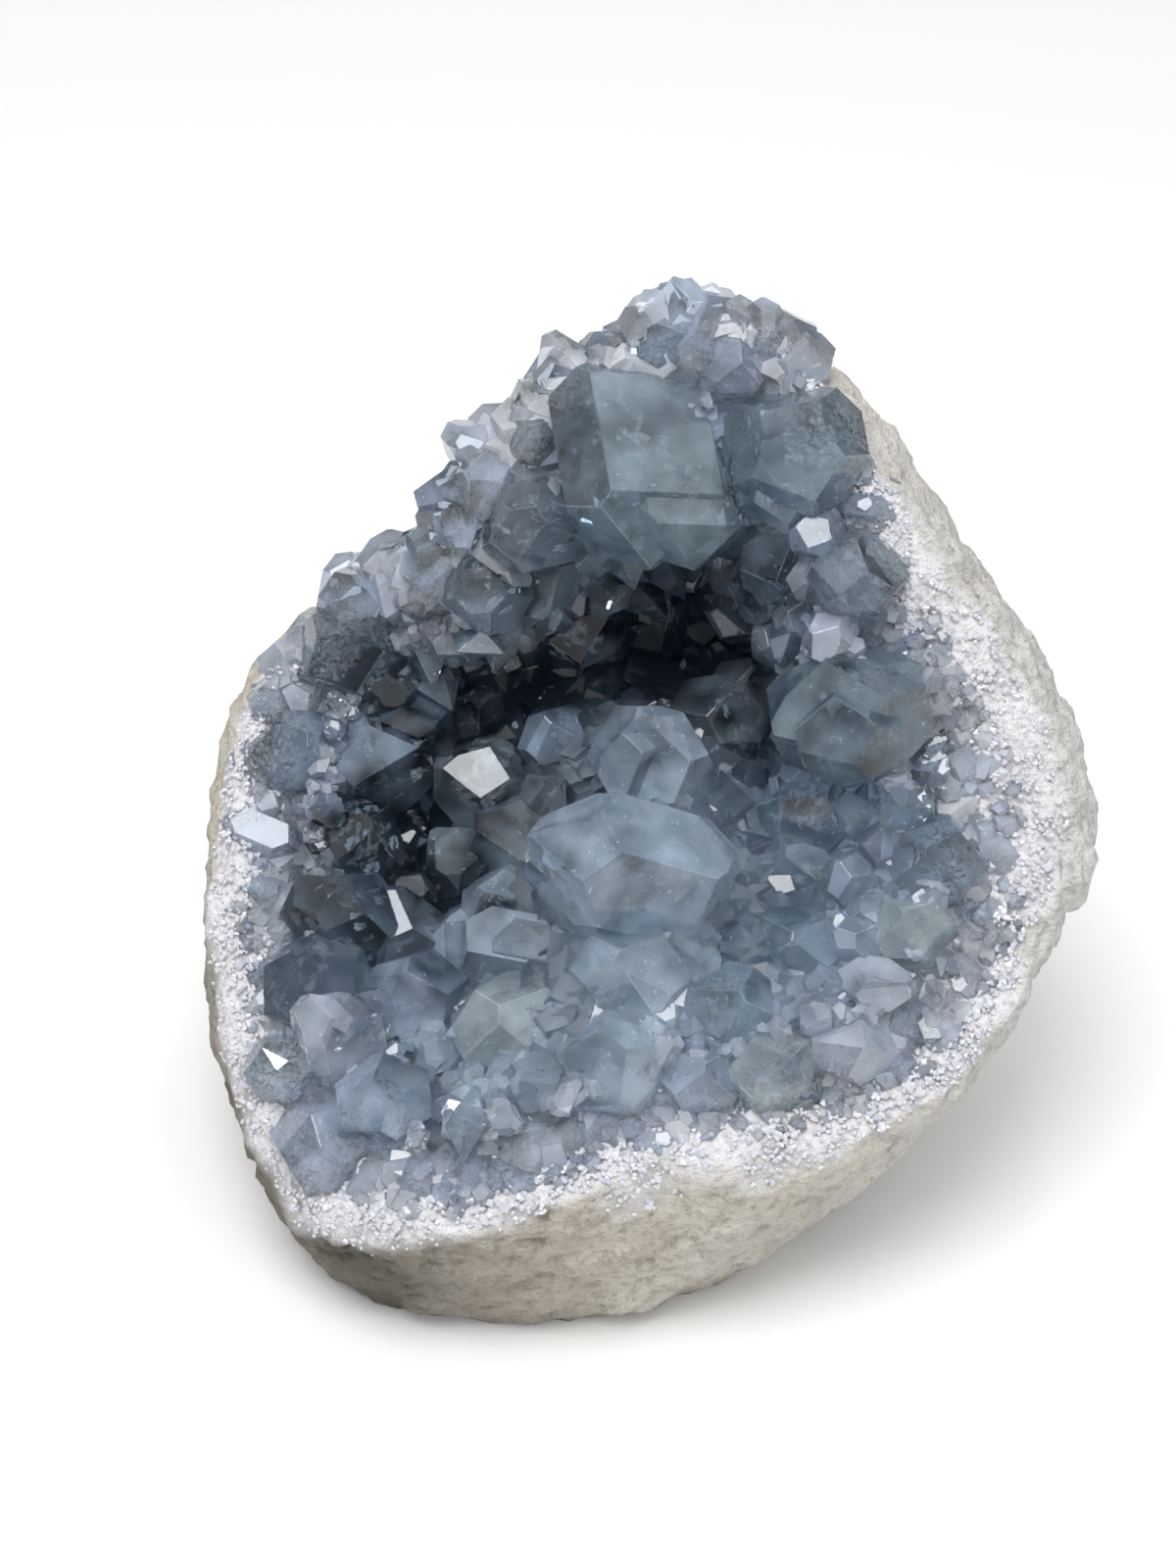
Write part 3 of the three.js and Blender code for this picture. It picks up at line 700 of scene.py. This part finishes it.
def crystalObject(c, rng):
    chips = crystals["chips"] if c["bevel"] else 0
    normals, distances = uneven(c["normals"], faceDistances(c["normals"], c["half"]), rng, chips)
    shape = bevelled(normals, distances, c["bevel"]) if c["bevel"] else polyhedron(normals, distances)
    if not isClosed(*shape):
        return None
    corners, faces, planes = shape
    mesh = newMesh("crystal", toPart(corners @ crystalAxes(c["grow"], c["roll"]).T + c["middle"]), faces)
    # the edges are painted pale as a highlight, and no two faces are coloured and frosted alike
    colour, milk = crystals["tints"][c["tint"]]
    kept, highlightWhite, highlightMilk = crystals["edge"]
    edge = (planes >= len(normals))[:, None]
    colour = np.array(colour) * rng.uniform(*crystals["shade"], (len(planes), 1))
    attribute(mesh, "tint", np.where(edge, kept * colour + highlightWhite, colour), "FACE")
    milk = milk + rng.uniform(*crystals["frosting"], len(planes)) + highlightMilk * edge[:, 0]
    attribute(mesh, "milk", milk, "FACE")
    return bpy.data.objects.new("crystal", mesh)


def liningObject():  # a closed skin on the hollow's wall: its back lies in the stone, its front is raised
    along = np.linspace(0, 1, 61)
    turns = np.arange(180) / 180
    s, t = (g.ravel() for g in np.meshgrid(along, turns, indexing="ij"))
    inward = np.abs(2 * s - 1)
    rise = np.where(s > 0.5, crystals["lining"], -2) * np.minimum(inward * 5, 1)
    p = wallAt(t, inward, rise).reshape(len(along), len(turns), 3)
    points, faces = closedGrid(p)
    mesh = newMesh("lining", toPart(points), faces)
    colour, milk = crystals["tints"]["grey"]
    attribute(mesh, "tint", np.tile(colour, (len(mesh.polygons), 1)), "FACE")
    attribute(mesh, "milk", np.full(len(mesh.polygons), milk), "FACE")
    return bpy.data.objects.new("lining", mesh)


def buildCrust():  # every crystal and the lining, joined in one solid
    large = largeCrystals()
    small = smallCrystals(large)
    everyone = large + steps(large) + small + middlingCrystals(large + small) + fillCrystals() + rimCrystals()
    group = bpy.data.collections.new("grownTogether")
    bpy.context.scene.collection.children.link(group)
    rng = np.random.default_rng(crystals["small"]["seed"])
    for c in everyone:
        grown = crystalObject(c, rng)
        if grown:
            group.objects.link(grown)
    lining = liningObject()
    bpy.context.scene.collection.objects.link(lining)
    join = lining.modifiers.new("join", "BOOLEAN")
    join.operation, join.solver, join.operand_type, join.collection = "UNION", "MANIFOLD", "COLLECTION", group
    graph = bpy.context.evaluated_depsgraph_get()
    mesh = bpy.data.meshes.new_from_object(lining.evaluated_get(graph))
    for old in list(group.objects) + [lining]:
        bpy.data.objects.remove(old)
    bpy.data.collections.remove(group)
    mesh.name = "celestiteCrust"
    mesh.polygons.foreach_set("use_smooth", np.zeros(len(mesh.polygons), bool))
    return mesh


celestite = {
    "ior": 1.62,
    "depth": (0.48, 0.63, 0.76, 1), "density": 40.0,  # absorption
    "clear": (0.88, 0.94, 0.98, 1), "clearShare": 0.85,  # how far the clear part leaves the tint
    "bloom": (0.74, 0.80, 0.86, 1),
    "cloud": 95.0, "frost": 420.0, "dust": 1400.0,  # scales of the clouds, the frosting and the dust
    "cloudy": 1.3, "dusty": 0.3,
}


def celestiteMaterial():  # clear and milky shares change from face to face and through clouds
    material, tree = newMaterial("celestite")
    where = objectPlace(tree)
    tint = attributeWire(tree, "tint", 0)
    milk = attributeWire(tree, "milk")
    cloud = noiseWire(tree, where, celestite["cloud"], 2.0, 0.62)
    frost = noiseWire(tree, where, celestite["frost"], 2.0, 0.7)
    dust = noiseWire(tree, where, celestite["dust"], 0.0)
    clear = principled(tree, {
        "Base Color": mixColour(tree, celestite["clearShare"], tint, celestite["clear"]),
        "Transmission Weight": 1.0, "IOR": celestite["ior"], "Roughness": frost.between(0.55, 0.9) * 0.1})
    milky = principled(tree, {
        "Base Color": mixColour(tree, frost.between(0.5, 0.9) * 0.3, tint, celestite["bloom"]),
        "Roughness": 0.1, "IOR": celestite["ior"]})
    share = milk + (cloud - 0.5) * celestite["cloudy"] + dust.between(0.76, 0.84) * celestite["dusty"]
    surface = addNode(tree, "ShaderNodeMixShader", {}, {0: share, 1: clear, 2: milky})
    absorb = {"Color": celestite["depth"], "Density": celestite["density"]}
    finish(tree, surface, addNode(tree, "ShaderNodeVolumeAbsorption", {}, absorb))
    return material


# healed cracks inside the large crystals: thin lenses along the cleavage, gently curved, with ragged edges
veils = {
    "seed": 12, "each": 8, "thin": 0.03, "points": 14,
    "bright": 5,  # of each crystal's, these are small and lie near its faces
    "spread": 0.3, "nearFace": 0.52,  # how far from the middle, in half sizes
    "lie": ((0, 0.5), (0, 0.35), (0.7, 0.5)),  # their normal in the crystal's axes: mean and spread
    "radius": (0.25, 0.5), "brightSize": 0.45, "ragged": (0.55, 1.25), "slim": (0.35, 0.8), "bow": 0.35,
    "colour": (0.86, 0.91, 0.97, 1), "roughness": 0.18, "scale": 480.0,
}


def buildVeils(large):
    rng = np.random.default_rng(veils["seed"])
    each, n = veils["each"], veils["points"]
    count = each * len(large)
    axes = np.repeat([crystalAxes(c["grow"], c["roll"]) for c in large], each, axis=0)
    half = np.repeat([c["half"] for c in large], each, axis=0)
    centre = np.repeat([c["middle"] for c in large], each, axis=0)
    bright = np.tile(np.arange(each) < veils["bright"], len(large))
    off = rng.uniform(-veils["spread"], veils["spread"], (count, 3))
    off = np.where(bright[:, None], veils["nearFace"] * unit(off), off)
    centre = centre + np.einsum("kij,kj->ki", axes, half * off)
    flat = unit(np.stack([rng.normal(mean, spread, count) for mean, spread in veils["lie"]], -1))
    flat = np.einsum("kij,kj->ki", axes, flat)
    side = unit(np.cross(flat, rng.normal(size=(count, 3))))
    other = np.cross(flat, side)
    # a ring of uneven radius in the veil's plane, bowed like a saddle, with a pole on either side
    angle = np.linspace(0, 2 * np.pi, n, endpoint=False)
    radius = half[:, 2] * rng.uniform(*veils["radius"], count) * np.where(bright, veils["brightSize"], 1)
    radius = radius[:, None] * rng.uniform(*veils["ragged"], (count, n))
    u = radius * np.cos(angle)
    v = radius * np.sin(angle) * rng.uniform(*veils["slim"], (count, 1))
    bow = (u * u - v * v) / half[:, 2:] * rng.uniform(-veils["bow"], veils["bow"], (count, 1))
    ring = centre[:, None] + u[..., None] * side[:, None] + v[..., None] * other[:, None]
    ring = ring + bow[..., None] * flat[:, None]
    poles = np.stack([centre - veils["thin"] * flat, centre + veils["thin"] * flat], 1)
    body = np.concatenate([ring, poles], 1)
    lens = [f for i in range(n) for f in ((i, (i + 1) % n, n + 1), ((i + 1) % n, i, n))]
    faces = [[i + k * (n + 2) for i in f] for k in range(count) for f in lens]
    mesh = newMesh("innerVeils", toPart(body.reshape(-1, 3)), faces)
    attribute(mesh, "bright", np.repeat(bright, len(lens)), "FACE")
    print("veils", count)
    return mesh


def veilMaterial():
    material, tree = newMaterial("veil")
    bright = attributeWire(tree, "bright")
    ragged = noiseWire(tree, objectPlace(tree), veils["scale"], 2.0, 0.65).between(0.42, 0.64)
    finish(tree, principled(tree, {"Base Color": veils["colour"], "Roughness": veils["roughness"],
                                   "Alpha": ragged * (bright * 0.5 + 0.45)}))
    return material


# the broken rim's druse: small blunt grains set in the stone, coarser towards the hollow
druse = {
    "seed": 9, "count": 8400, "from": 0.44, "to": 0.665, "bias": 0.8,
    "skinEnds": (0.488, 0.525),  # none beyond this edge of the rim
    "coarser": (0.50, 0.66), "fine": 0.35, "coarse": 1.1, "vary": (0.7, 1.4),
    "giants": (0.07, 1.9),  # their share and how much larger they are
    "shape": (1, 0.8, 0.65), "proud": 0.1, "sunk": 0.55,
    "whiteness": (0.75, 0.2), "clearer": 0.45,
    "blue": (0.46, 0.49, 0.60, 1), "white": (0.76, 0.76, 0.79, 1), "roughness": 0.25, "ior": 1.62,
}


def spins(turn):  # a rotation matrix for each unit quaternion
    w, x, y, z = turn.T
    rows = [1 - 2 * (y * y + z * z), 2 * (x * y - w * z), 2 * (x * z + w * y),
            2 * (x * y + w * z), 1 - 2 * (x * x + z * z), 2 * (y * z - w * x),
            2 * (x * z - w * y), 2 * (y * z + w * x), 1 - 2 * (x * x + y * y)]
    return np.stack(rows, -1).reshape(-1, 3, 3)


def buildDruse():
    rng = np.random.default_rng(druse["seed"])
    turns = rng.random(druse["count"])
    along = druse["from"] + (druse["to"] - druse["from"]) * rng.random(druse["count"]) ** druse["bias"]
    edge = smooth(*druse["skinEnds"], along + rimWander(stoneAt(turns, along)))
    keep = rng.random(druse["count"]) < edge
    along, turns = along[keep], turns[keep]
    count = len(turns)
    coarse = smooth(*druse["coarser"], along)
    size = druse["fine"] + (druse["coarse"] - druse["fine"]) * coarse * rng.random(count) ** 1.4
    size = size * rng.uniform(*druse["vary"], count)
    share, larger = druse["giants"]
    size = np.where(rng.random(count) < share, size * larger, size)
    # a grain is a blunt double wedge: a unit shape turned, stretched and set on the stone for all at once
    shape, faces, planes = polyhedron(withPinacoid, faceDistances(withPinacoid, np.array(druse["shape"])))
    spin = spins(unit(rng.normal(size=(count, 4))))
    body = np.einsum("kij,vj->kvi", spin, shape) * size[:, None, None]
    rise = (druse["proud"] - druse["sunk"] * size)[:, None]
    body = body + (stoneAt(turns, along) + outwardAt(turns, along) * rise)[:, None]
    grainFaces = [[i + k * len(shape) for i in f] for k in range(count) for f in faces]
    mesh = newMesh("rimDruse", toPart(body.reshape(-1, 3)), grainFaces)
    whiteness = rng.normal(*druse["whiteness"], count) - druse["clearer"] * coarse * rng.random(count)
    attribute(mesh, "white", np.repeat(np.clip(whiteness, 0, 1), len(faces)), "FACE")
    print("druse grains", count, "faces", len(mesh.polygons))
    return mesh


def druseMaterial():
    material, tree = newMaterial("druse")
    colour = mixColour(tree, attributeWire(tree, "white"), druse["blue"], druse["white"])
    finish(tree, principled(tree, {"Base Color": colour, "Roughness": druse["roughness"], "IOR": druse["ior"]}))
    return material


limestone = {
    "cream": ((0.49, 0.45, 0.38, 1), (0.62, 0.59, 0.52, 1)),
    "lamina": (0.66, 0.62, 0.54, 1),
    "creamGrain": (0.26, 0.235, 0.19, 1),
    "grey": ((0.42, 0.42, 0.41, 1), (0.66, 0.65, 0.64, 1)),  # on the right
    "underShade": (0.10, 0.09, 0.07, 1),  # painted shade at the lower left, where the skin curves under
    "speck": (0.20, 0.20, 0.19, 1),
    "rim": ((0.54, 0.54, 0.58, 1), (0.78, 0.77, 0.78, 1)),
    "rimFleck": (0.40, 0.42, 0.47, 1),
    "roughness": 0.92, "shine": 0.25, "bump": 0.85, "bumpDepth": 0.0014,
    "layers": (90.0, 90.0, 700.0),  # thin and level
}


def limestoneMaterial():
    material, tree = newMaterial("limestone")
    where = objectPlace(tree)
    rim = attributeWire(tree, "rim")
    broad = noiseWire(tree, where, 28.0, 2.0).between(0.35, 0.65)
    fine = noiseWire(tree, where, 520.0, 3.0, 0.75)
    speck = noiseWire(tree, where, 330.0, 2.0, 0.6).between(0.64, 0.74)
    fleck = noiseWire(tree, where, 260.0, 3.0, 0.65).between(0.56, 0.70)
    layers = addNode(tree, "ShaderNodeMapping", {}, {"Vector": where, "Scale": limestone["layers"]})
    lamina = noiseWire(tree, layers, 1.0, 2.0, 0.6)
    drift = (noiseWire(tree, where, 45.0, 3.0) - 0.5) * 0.09  # the grey part has no straight edge
    x = addNode(tree, "ShaderNodeSeparateXYZ", {}, {0: where})
    z = addNode(tree, "ShaderNodeSeparateXYZ", {}, {0: where}, 2)
    toRight = (x + drift).between(0.01, 0.065)
    toLeft = 1 - x.between(-0.042, -0.004)
    low = 1 - z.between(0.012, 0.062)
    cream = mixColour(tree, broad, *limestone["cream"])
    cream = mixColour(tree, lamina.between(0.45, 0.70) * 0.25, cream, limestone["lamina"])
    cream = mixColour(tree, fine.between(0.46, 0.62) * 0.55, cream, limestone["creamGrain"])
    grey = mixColour(tree, fine.between(0.34, 0.60), *limestone["grey"])
    skin = mixColour(tree, toRight * 0.8 + 0.06, cream, grey)
    # painted shade: the lower left darkened towards the bottom, where the skin turns under
    skin = mixColour(tree, toLeft * low * (broad * 0.35 + 0.65), skin, limestone["underShade"])
    skin = mixColour(tree, speck * 0.55, skin, limestone["speck"])
    white = mixColour(tree, fine.between(0.3, 0.55), *limestone["rim"])
    white = mixColour(tree, fleck * 0.6, white, limestone["rimFleck"])
    bump = addNode(tree, "ShaderNodeBump", {}, {
        "Strength": limestone["bump"], "Distance": limestone["bumpDepth"], "Height": lamina * 0.5 + fine})
    finish(tree, principled(tree, {
        "Base Color": mixColour(tree, rim, skin, white), "Roughness": limestone["roughness"],
        "Specular IOR Level": limestone["shine"], "Normal": bump}))
    return material


wall = {
    # deep: the painted shade colour for the hollow's depth
    "shallow": ((0.46, 0.54, 0.62, 1), (0.90, 0.93, 0.96, 1)), "deep": (0.05, 0.07, 0.10, 1),
    "patch": 110.0, "roughness": 0.9,
}


def wallMaterial():  # the hollow's own wall, seen through the crystals: pale near the rim, with painted shade darkening it in its depth
    material, tree = newMaterial("hollowWall")
    patch = noiseWire(tree, objectPlace(tree), wall["patch"], 2.0, 0.5).between(0.38, 0.62)
    shallow = mixColour(tree, patch, *wall["shallow"])
    colour = mixColour(tree, attributeWire(tree, "deep"), shallow, wall["deep"])
    finish(tree, principled(tree, {"Base Color": colour, "Roughness": wall["roughness"]}))
    return material


noduleMesh, wallFaces = buildStone()
nodule = show("limestoneNodule", noduleMesh, limestoneMaterial())
noduleMesh.materials.append(wallMaterial())
noduleMesh.polygons.foreach_set("material_index", wallFaces)
print("nodule done")
crust = show("celestiteCrust", buildCrust(), celestiteMaterial())
cracks = show("innerVeils", buildVeils(largeCrystals()), veilMaterial())
grains = show("rimDruse", buildDruse(), druseMaterial())
for piece, slot in ((nodule, "limestone"), (crust, "celestite"), (cracks, "celestite"), (grains, "celestite")):
    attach(piece, "root")
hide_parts("limestone_matrix")
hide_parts("crystal_crust")

# floor, light and camera
studio = {
    "floor": (0.92, 0.92, 0.92, 1), "floorHalf": 3,
    "world": 0.12, "sky": 0.85,  # strength at the horizon, and what is added overhead
    "lamps": {"key": ((-0.15, -0.3, 1.05), 6.0, 0.6), "fill": ((0.7, -0.8, 0.6), 1.5, 0.5)},  # place, W, m
    "sparkle": ((0.5, -0.5, 0.9), (-0.1, -0.9, 0.8), (0.15, 0.3, 1.1), (-0.7, -0.5, 0.7), (-0.5, 0.1, 1.0)),
    "small": (0.25, 0.06),
    "lampsAim": (0, 0, 0.06),
    "lens": 65, "sensor": 36, "away": 445, "aim": (-8.5, 4.6, 0),  # millimetres
    "turns": 4, "scatters": 2,  # how often light may turn in the crystals, and scatter off dull faces
}


def aim(thing, target):  # its -Z looks at the target, with +Y up
    back = unit(np.array(thing.location) - np.array(target))
    right = unit(np.cross([0, 0, 1], back))
    thing.rotation_euler = Matrix(np.stack([right, np.cross(back, right), back], -1).tolist()).to_euler()


def areaLight(name, place, power, size):
    light = bpy.data.lights.new(name, "AREA")
    light.energy, light.size, light.shape = power, size, "DISK"
    lamp = bpy.data.objects.new(name, light)
    bpy.context.scene.collection.objects.link(lamp)
    lamp.location = place
    aim(lamp, studio["lampsAim"])


floorMaterial, floorTree = newMaterial("floor")
finish(floorTree, principled(floorTree, {"Base Color": studio["floor"], "Roughness": 0.9}))
h = studio["floorHalf"]
floorMesh = newMesh("floor", [(-h, -h, 0), (h, -h, 0), (h, h, 0), (-h, h, 0)], [(0, 1, 2, 3)])
floor = show("floor", floorMesh, floorMaterial)
for name, lamp in studio["lamps"].items():
    areaLight(name, *lamp)
for k, place in enumerate(studio["sparkle"]):
    areaLight(f"sparkle{k}", place, *studio["small"])
world = bpy.data.worlds.new("studio")
world.use_nodes = True
sky = world.node_tree
upward = addNode(sky, "ShaderNodeSeparateXYZ", {}, {0: addNode(sky, "ShaderNodeTexCoord", output=0)}, 2)
strength = upward.between(0.0, 1.0) * studio["sky"] + studio["world"]
sky.links.new(strength.socket, sky.nodes["Background"].inputs["Strength"])
sky.nodes["Background"].inputs["Color"].default_value = (1, 1, 1, 1)
scene = bpy.context.scene
scene.world = world
scene.view_settings.view_transform = "Standard"
scene.cycles.max_bounces = studio["turns"]
scene.cycles.transmission_bounces = studio["turns"]
scene.cycles.diffuse_bounces = studio["scatters"]

lens = bpy.data.cameras.new("camera")
lens.lens, lens.sensor_width = studio["lens"], studio["sensor"]
camera = bpy.data.objects.new("camera", lens)
scene.collection.objects.link(camera)
target = toPart(np.array(studio["aim"], float))
camera.location = target + faceOut * studio["away"] / 1000
bpy.context.view_layer.update()
aim(camera, target)
scene.camera = camera

print("scene done")
